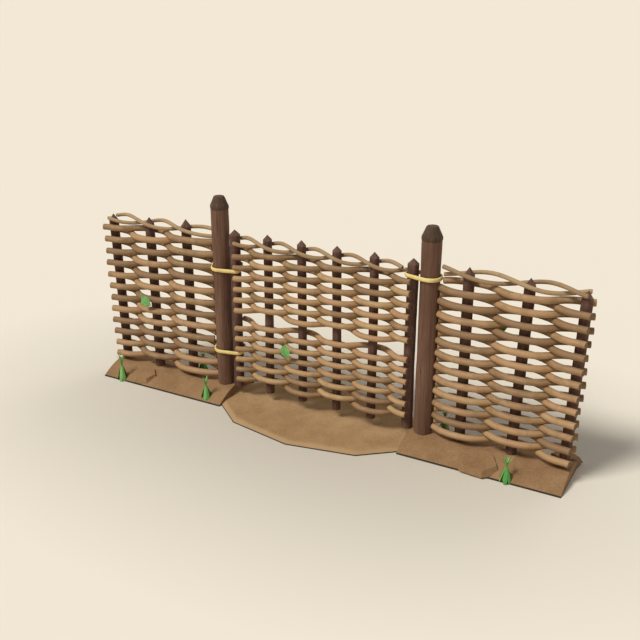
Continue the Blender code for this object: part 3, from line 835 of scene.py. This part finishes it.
rod_bark = rod_finish("rod_bark", ROD_TONES, 0.62)
sawn_end = sawn_finish("sawn_end")
bundles = [(f"gate_rods_{i:02d}", "gate", "gate", GATE_ROD, 2) for i in range(1, 13)]
for side, radius, count in PANEL_RODS:
    for i in range(6):
        bundles.append((f"{side}_rods_{i + 1}", side, "root", radius, min(4, count - 4 * i)))
rows_so_far = dict.fromkeys(PARTS, 0)
for node, part, body, corner_radius, count in bundles:
    rods = []
    for height in rod_heights(node, count, corner_radius):
        row = rows_so_far[part]
        rows_so_far[part] += 1
        radius = ROD_SHARE * corner_radius
        begin, finish = rod_ends(node, height, ROD_WINDOW * corner_radius)
        front_first = (row % 2 == 0) != (part == "right")
        stops = stops_at(part, height, radius)
        line = weave_line(stops, height, front_first, ROD_STIFFNESS)
        seed = 100.0 * PARTS.index(part) + row
        browner = 0.0 if part == "gate" else PANEL_BROWNER
        rods.append(wound_rod(begin, finish, line, radius, seed, browner))
    finishes = [rod_bark, sawn_end]
    make_piece(f"{node}_hazel", gathered(rods), body, finishes, [node], 45)


# Twisted withies
# Along the top of the gate and of each panel, two thin withies are twisted round the
# uprights and each other. They bind the weave so that it can't ride up.

WITHY_RADIUS = 0.0123
WITHY_RISE = 0.0245
WITHY_STIFFNESS = 0.0
WITHY_TONES = (
    (0.00, (0.400, 0.265, 0.130)),
    (0.50, (0.335, 0.210, 0.104)),
    (1.00, (0.245, 0.150, 0.075)),
)

withy_bark = rod_finish("withy_bark", WITHY_TONES, 0.60)
for part, body in zip(PARTS, ("gate", "root", "root")):
    for letter, in_front in (("a", True), ("b", False)):
        node = f"{part}_withy_{letter}"
        low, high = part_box(node)
        height = (low.z + high.z) / 2
        front_first = in_front != (part == "right")
        stops = stops_at(part, height, WITHY_RADIUS)
        line = weave_line(stops, height, front_first, WITHY_STIFFNESS, WITHY_RISE)
        seed = 400.0 + 10 * PARTS.index(part) + in_front
        bm = wound_rod(low.x, high.x, line, WITHY_RADIUS, seed)
        finishes = [withy_bark, sawn_end]
        make_piece(f"{node}_twist", bm, body, finishes, [node], 45)


# Loops
# Three peeled withies, bent green into closed loops. Two hang the gate on its post and
# turn with it, and the third is slipped over the far stile and the other post.

LOOP_RADIUS = 0.0122  # half its height
LOOP_SEAT = 0.013  # from the edge of its CAD solid to its middle
LOOP_PRESSED = 0.50  # its thickness over its height
LOOP_SIDES = 14
LOOP_STEPS = 128
LOOP_STEP_WIDTH = 0.060  # depth in which it climbs to the back
LOOP_BITE = 0.0005  # into the post
STILE_PLAY = 0.0022  # between it and the stile
LOOP_UNEVEN = 0.05
LOOP_UNEVEN_PACE = 2.3
LOOP_SEED = 501.0
PEELED = (0.780, 0.600, 0.205)
PEELED_PALE = (0.860, 0.710, 0.300)
PEELED_DARK = (0.600, 0.420, 0.130)


def peeled_finish(name):
    """Peeled withy: pale satin wood, with long fibres and browned scuffs."""
    material, tree, bark = start_finish(name, on_bark=True)
    fibre = grain(tree, bark, 300.0, 4.0, 0.6, (1.0, 1.0, 0.05))
    scuffs = grain(tree, bark, 42.0, 4.0, 0.6, (1.0, 1.0, 0.6))
    mixed = layered(tree, (fibre, 0.5), (scuffs, 0.5))
    colour = shades(tree, mixed, (0.34, PEELED_DARK), (0.50, PEELED), (0.66, PEELED_PALE))
    relief = ((scuffs, 0.0008), (fibre, 0.0006))
    return finish_with(material, colour, 0.4, (fibre, 0.62, 0.48), *relief)


def belt_line(post, stile, front, back):
    """A tight belt round two uprights, as a function of a share of its length.

    An upright is (place along X, the belt's radius round it).
    """
    (post_x, around_post), (stile_x, around_stile) = post, stile
    distance = abs(stile_x - post_x)
    towards = 1 if stile_x > post_x else -1
    split = math.acos((around_post - around_stile) / distance)
    straight = math.sqrt(distance**2 - (around_post - around_stile) ** 2)
    parts = (around_post * (2 * math.pi - 2 * split), straight, around_stile * 2 * split, straight)
    total = sum(parts)

    def at(x, radius, angle):
        """A place where the belt lies on an upright."""
        return Vector((x + towards * radius * math.cos(angle), radius * math.sin(angle), 0.0))

    def line(share):
        """The place after a share of the way: post, straight, stile, straight."""
        left = (share % 1.0) * total
        part = 0
        while part < 3 and left > parts[part]:
            left -= parts[part]
            part += 1
        if part == 0:
            point = at(*post, split + left / around_post)
        elif part == 1:
            point = at(*post, -split).lerp(at(*stile, -split), left / straight)
        elif part == 2:
            point = at(*stile, left / around_stile - split)
        else:
            point = at(*stile, split).lerp(at(*post, split), left / straight)
        ease = min(1.0, max(0.0, 0.5 + point.y / LOOP_STEP_WIDTH))
        point.z = front + (back - front) * (3 * ease**2 - 2 * ease**3)
        return point

    return line, total


def bent_withy(line, total, seed):
    """A withy bent into a closed loop, flattened on the wood and a little uneven."""
    bm = start_rods()
    add_bar(bm, LOOP_SIDES, LOOP_RADIUS, 1.0, capped=False)
    cut_along(bm, LOOP_STEPS - 1)
    bark = bm.verts.layers.float_vector["bark"]
    for vert in bm.verts:
        share = vert.co.z
        here, side, up = bend_at(line, share, 0.002)
        flat_x, flat_y = vert.co.x, vert.co.y
        round_trip = Vector((math.cos(2 * math.pi * share), math.sin(2 * math.pi * share), seed))
        thick = 1 + LOOP_UNEVEN * noise.noise(round_trip * LOOP_UNEVEN_PACE)
        vert[bark] = (flat_x, flat_y, share * total + PATTERN_STEP * seed)
        vert.co = here + (side * flat_x * LOOP_PRESSED + up * flat_y) * thick
    bmesh.ops.remove_doubles(bm, verts=bm.verts, dist=0.00005)
    bmesh.ops.recalc_face_normals(bm, faces=bm.faces)
    return bm


peeled_withy = peeled_finish("peeled_withy")
for node, post, stile, body in (
    ("hinge_loop_lower", "heel_post", "heel_stile", "gate"),
    ("hinge_loop_upper", "heel_post", "heel_stile", "gate"),
    ("latch_loop", "latch_post", "latch_stile", "latch_loop"),
):
    low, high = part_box(node)
    front, back = low.z + LOOP_SEAT, high.z - LOOP_SEAT
    around_post = POST_RADIUS - LOOP_BITE + LOOP_PRESSED * LOOP_RADIUS
    around_stile = pole_radius[stile] + STILE_PLAY + LOOP_PRESSED * LOOP_RADIUS
    uprights = ((middle_of(post)[0].x, around_post), (middle_of(stile)[0].x, around_stile))
    line, total = belt_line(*uprights, front, back)
    bm = bent_withy(line, total, LOOP_SEED + front)
    make_piece(f"{node}_withy", bm, body, [peeled_withy], [node], 60)


# Grass
# Coarse grass has rooted in the banks. Each tuft has nine stiff blades that are broad at
# the foot, cross at the waist and end in thin points that lean apart.

BLADES = 9
BLADE_SIDES = 4
BLADE_STEPS = 8
BLADE_FOOT = 0.72  # width at the foot, as a share
BLADE_BELLY = 2.2
BLADE_TAPER = 0.75
BLADE_KEEL = 0.20  # thickness over width
BLADE_PATTERN = 0.3  # its length in the pattern of the veins
POINT_WIDTH = 0.0005
POINT_THICK = 0.0004
POINT_LENGTH = 0.004
POINT_WELD = 0.0016
TUFT_RADIUS = 0.034
TUFT_INNER = 0.45  # share of it for each third blade
ROOT_DEPTH = 0.006
ROOT_LOWEST = 0.001
WAIST_RADIUS = 0.004
WAIST_HEIGHT = 0.50
LEAN_SHORTER = 0.75
# drawn between the least and the most
ASTRAY = (0.0, 0.35)  # from a blade's even place, in places
LEAN = (0.030, 0.040)
TIP_HEIGHT = (0.84, 0.99)
BLADE_WIDTH = (0.012, 0.014)
GRASS = (0.100, 0.372, 0.076)
GRASS_DARK = (0.057, 0.248, 0.043)
GRASS_PALE = (0.257, 0.505, 0.143)


def grass_finish(name):
    """Grass: long veins, paler tips and a darker foot."""
    material, tree, place = start_finish(name)
    bark = carried(tree, "bark", "Vector")
    tone = carried(tree, "tone")
    parts = add_node(tree, "SeparateXYZ", {"Vector": bark})
    veins = grain(tree, bark, 260.0, 3.0, 0.5, (1.0, 1.0, 0.02))
    clouds = grain(tree, place, 40.0, 3.0)
    mixed = layered(tree, (veins, 0.35), (tone, 0.55), (clouds, 0.25), (parts.outputs[2], 0.9))
    colour = shades(tree, mixed, (0.20, GRASS_DARK), (0.52, GRASS), (0.95, GRASS_PALE))
    return finish_with(material, colour, 0.35, (veins, 0.62, 0.48), (veins, 0.0006))


def grass_blade(root, waist, tip, width, tone_value):
    """One blade with a keel, bent through its waist and drawn out to a point."""
    bm = start_rods()
    add_bar(bm, BLADE_SIDES, 1.0, 1.0)
    cut_along(bm, BLADE_STEPS)
    bark = bm.verts.layers.float_vector["bark"]
    tone = bm.verts.layers.float["tone"]
    out = Vector((root.x - waist.x, root.y - waist.y, 0.0)).normalized()
    across = Vector((-out.y, out.x, 0.0))
    bend = 2 * waist - (root + tip) / 2
    for vert in bm.verts:
        share = vert.co.z
        here = root * (1 - share) ** 2 + bend * 2 * share * (1 - share) + tip * share**2
        belly = math.sin(math.pi * min(1.0, share * BLADE_BELLY))
        broad = width * (1 - share) ** BLADE_TAPER * (BLADE_FOOT + (1 - BLADE_FOOT) * belly)
        thick = BLADE_KEEL * broad + POINT_THICK
        vert[bark] = (vert.co.x * broad, vert.co.y * thick, share * BLADE_PATTERN)
        vert[tone] = tone_value
        vert.co = here + across * vert.co.x * (broad + POINT_WIDTH) + out * vert.co.y * thick
    tips = [v for v in bm.verts if (v.co - tip).length < POINT_LENGTH]
    bmesh.ops.remove_doubles(bm, verts=tips, dist=POINT_WELD)
    return bm


grass_green = grass_finish("grass_green")
bank_low, bank_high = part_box("left_bank")
half_width = (bank_high.y - bank_low.y) / 2
for number in range(1, 6):
    node = f"grass_tuft_{number}"
    low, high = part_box(node)
    centre = Vector(((low.x + high.x) / 2, (low.y + high.y) / 2, 0.0))
    foot, _ = arch(centre.y, half_width, bank_high.z)
    tall = high.z - foot
    draw = random.Random(600 + number)
    blades = []
    for i in range(BLADES):
        angle = 2 * math.pi * (i + draw.uniform(*ASTRAY)) / BLADES
        out = Vector((math.cos(angle), math.sin(angle), 0.0))
        root = centre + out * TUFT_RADIUS * (1.0 if i % 3 else TUFT_INNER)
        ground, _ = arch(root.y, half_width, bank_high.z)
        root.z = max(ground - ROOT_DEPTH, ROOT_LOWEST)
        waist = centre + out * WAIST_RADIUS
        waist.z = foot + WAIST_HEIGHT * tall
        lean = draw.uniform(*LEAN)
        tip = centre - out * lean * (1.0 if i % 2 else LEAN_SHORTER)
        tip.z = foot + tall * draw.uniform(*TIP_HEIGHT)
        width = draw.uniform(*BLADE_WIDTH)
        blades.append(grass_blade(root, waist, tip, width, draw.random()))
    bm = gathered(blades)
    bmesh.ops.recalc_face_normals(bm, faces=bm.faces)
    make_piece(f"{node}_blades", bm, "root", [grass_green], [node], 25)


# Leaves
# Three leaves are left on the rods, where buds opened after they were cut. Each is a
# folded oval with a midrib, on a short stalk.

LEAF_CELLS = (10, 14)
LEAF_THICK = 0.0009
LEAF_EDGE = 0.0008  # half width at both ends
LEAF_BROADEST = 0.85  # below 1: near the stalk
LEAF_ROUND = 0.8
LEAF_FOLD = 0.14
LEAF_CURL = 0.004
LEAF_WAVE = 0.0015
LEAF_WAVE_PACE = 19.0
LEAF_TILT = -4  # degrees, as it hangs off the fence
STALK = (0.0022, 0.0014, 0.034)  # two radii and length
STALK_TILT = -72
STALK_PLACE = (-0.010, 0.002)  # past the leaf's end, and above it
LEAF_GREEN = (0.165, 0.430, 0.115)
LEAF_DARK = (0.105, 0.320, 0.075)
LEAF_PALE = (0.300, 0.560, 0.190)
# name, body, centre, width, length, turn in the plane of the fence, which way it faces
LEAVES = (
    ("leaf_gate", "gate", (-0.188, -0.088, 0.438), 0.066, 0.092, 4, -1),
    ("leaf_left", "root", (-1.276, -0.092, 0.583), 0.076, 0.086, 40, -1),
    ("leaf_right", "root", (1.118, 0.068, 0.818), 0.082, 0.088, -20, 1),
)


def leaf_finish(name):
    """A thin leaf: midrib, side veins that run to the edge, and blotches."""
    material, tree, bark = start_finish(name, on_bark=True)
    parts = add_node(tree, "SeparateXYZ", {"Vector": bark})
    off_rib = sums(tree, "ABSOLUTE", parts.outputs[0])
    slant = sums(tree, "MULTIPLY_ADD", off_rib, -0.8, parts.outputs[1])
    veins = spread(tree, sums(tree, "SINE", times(tree, slant, 42.0)), 0.82, 1.0)
    rib = spread(tree, off_rib, 0.06, 0.02)
    lines = sums(tree, "MAXIMUM", rib, times(tree, veins, 0.6))
    clouds = grain(tree, bark, 3.0, 4.0)
    fine = grain(tree, bark, 22.0, 3.0)
    mixed = layered(tree, (clouds, 0.6), (fine, 0.4))
    colour = shades(tree, mixed, (0.32, LEAF_DARK), (0.50, LEAF_GREEN), (0.74, LEAF_PALE))
    colour = blended(tree, times(tree, lines, 0.5), colour, LEAF_PALE)
    return finish_with(material, colour, 0.4, (fine, 0.6, 0.45), (lines, 0.0008), (fine, 0.0004))


leaf_green = leaf_finish("leaf_green")
for name, body, centre, width, length, turn, facing in LEAVES:
    bm = start_rods()
    bark = bm.verts.layers.float_vector["bark"]
    bmesh.ops.create_grid(bm, x_segments=LEAF_CELLS[0], y_segments=LEAF_CELLS[1], size=0.5)
    for vert in bm.verts:
        along = vert.co.y + 0.5
        across = 2 * vert.co.x
        swell = math.sin(math.pi * along**LEAF_BROADEST) ** LEAF_ROUND
        half = 0.5 * width * swell + LEAF_EDGE
        vert[bark] = (across, along, 0.0)
        fold = 2 * LEAF_FOLD * abs(across) * half
        curl = LEAF_CURL * math.sin(math.pi * along)
        wave = LEAF_WAVE * math.sin(LEAF_WAVE_PACE * along) * abs(across)
        vert.co = Vector((across * half, (along - 0.5) * length, fold + curl + wave))
    bmesh.ops.solidify(bm, geom=bm.faces[:], thickness=LEAF_THICK)
    place = Matrix.Translation((0.0, -0.5 * length + STALK_PLACE[0], STALK_PLACE[1]))
    bmesh.ops.create_cone(
        bm,
        cap_ends=True,
        segments=8,
        radius1=STALK[0],
        radius2=STALK[1],
        depth=STALK[2],
        matrix=place @ Matrix.Rotation(math.radians(STALK_TILT), 4, "X"),
    )
    bmesh.ops.recalc_face_normals(bm, faces=bm.faces)
    upright = Matrix.Rotation(math.radians(90), 4, "X")
    if facing > 0:
        upright = Matrix.Rotation(math.pi, 4, "Z") @ upright
    hung = Matrix.Rotation(math.radians(180 + turn), 4, "Z")
    tilt = Matrix.Rotation(math.radians(LEAF_TILT), 4, "X")
    placed = Matrix.Translation(centre) @ upright @ hung @ tilt
    bmesh.ops.transform(bm, matrix=placed, verts=bm.verts)
    make_piece(name, bm, body, [leaf_green], (), 40)


# Camera
# The photo's view, from in front and to the right, worked out from the fence's lines.

CAMERA_PLACE = (2.4487, -4.4399, 2.6720)
CAMERA_DOWN = 21.673  # degrees below level
CAMERA_TURN = 28.833
CAMERA_LENS = 50.0

camera_data = bpy.data.cameras.new("camera")
camera_data.lens = CAMERA_LENS
camera_data.sensor_width = 36.0
camera = bpy.data.objects.new("camera", camera_data)
camera.location = CAMERA_PLACE
camera.rotation_euler = (math.radians(90.0 - CAMERA_DOWN), 0.0, math.radians(CAMERA_TURN))
bpy.context.scene.collection.objects.link(camera)
bpy.context.scene.camera = camera


# Floor and light
# A pale studio floor without a horizon, with painted shade that darkens it close to the
# fence. A soft key lamp stands in front on the left, a softer one behind, and an even pale
# sky fills the shadows.

FLOOR = (0.888, 0.807, 0.665)
FLOOR_PAINTED_SHADE = (0.568, 0.514, 0.422)  # painted shade: darker close to the fence
FLOOR_SHADE_REACH = (3.00, 1.94)
FLOOR_SIZE = 300.0
FLOOR_DROP = 0.0008  # below the undersides of the banks
SKY_STRENGTH = 0.26
# name, energy, angle it fills in degrees, and where it comes from
LAMPS = (
    ("key_lamp", 2.60, 18.0, (-0.40, -0.65, 1.0)),
    ("back_lamp", 0.40, 35.0, (0.30, 1.14, 1.0)),
)

material, tree, place = start_finish("studio_floor")
reach = (1 / FLOOR_SHADE_REACH[0], 1 / FLOOR_SHADE_REACH[1], 0.0)
flat = add_node(tree, "Mapping", {"Vector": place, "Scale": reach}).outputs[0]
away = add_node(tree, "VectorMath", {0: flat}, operation="LENGTH").outputs["Value"]
# painted shade: the floor's colour darkens towards the fence
colour = blended(tree, spread(tree, away, 0.0, 1.0), FLOOR_PAINTED_SHADE, FLOOR)
shader = tree.nodes["Principled BSDF"]
plug(tree, shader.inputs["Base Color"], colour)
shader.inputs["Roughness"].default_value = 0.9
shader.inputs["Specular IOR Level"].default_value = 0.0
bm = bmesh.new()
bmesh.ops.create_grid(bm, x_segments=1, y_segments=1, size=FLOOR_SIZE / 2)
bmesh.ops.translate(bm, verts=bm.verts, vec=(0.0, 0.0, -FLOOR_DROP))
floor_mesh = bpy.data.meshes.new("studio_floor")
bm.to_mesh(floor_mesh)
bm.free()
floor_mesh.materials.append(material)
floor = bpy.data.objects.new("studio_floor", floor_mesh)
bpy.context.scene.collection.objects.link(floor)
floor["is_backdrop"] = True

world = bpy.data.worlds.new("studio")
world.use_nodes = True
sky = world.node_tree.nodes["Background"]
tree = world.node_tree
rays = add_node(tree, "LightPath")
seen = sums(tree, "MAXIMUM", rays.outputs["Is Camera Ray"], rays.outputs["Is Glossy Ray"])
seen = sums(tree, "MAXIMUM", seen, rays.outputs["Is Transmission Ray"])
plug(tree, sky.inputs["Color"], blended(tree, seen, (1.0, 1.0, 1.0), FLOOR))
plug(tree, sky.inputs["Strength"], spread(tree, seen, 0.0, 1.0, SKY_STRENGTH, 1.0))
bpy.context.scene.world = world

for name, energy, angle, direction in LAMPS:
    lamp_data = bpy.data.lights.new(name, "SUN")
    lamp_data.energy = energy
    lamp_data.angle = math.radians(angle)
    lamp = bpy.data.objects.new(name, lamp_data)
    lamp.rotation_mode = "QUATERNION"
    lamp.rotation_quaternion = Vector(direction).to_track_quat("Z", "Y")
    bpy.context.scene.collection.objects.link(lamp)

bpy.context.scene.view_settings.view_transform = "Standard"


# Size
# The box of what is shown.

low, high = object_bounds()
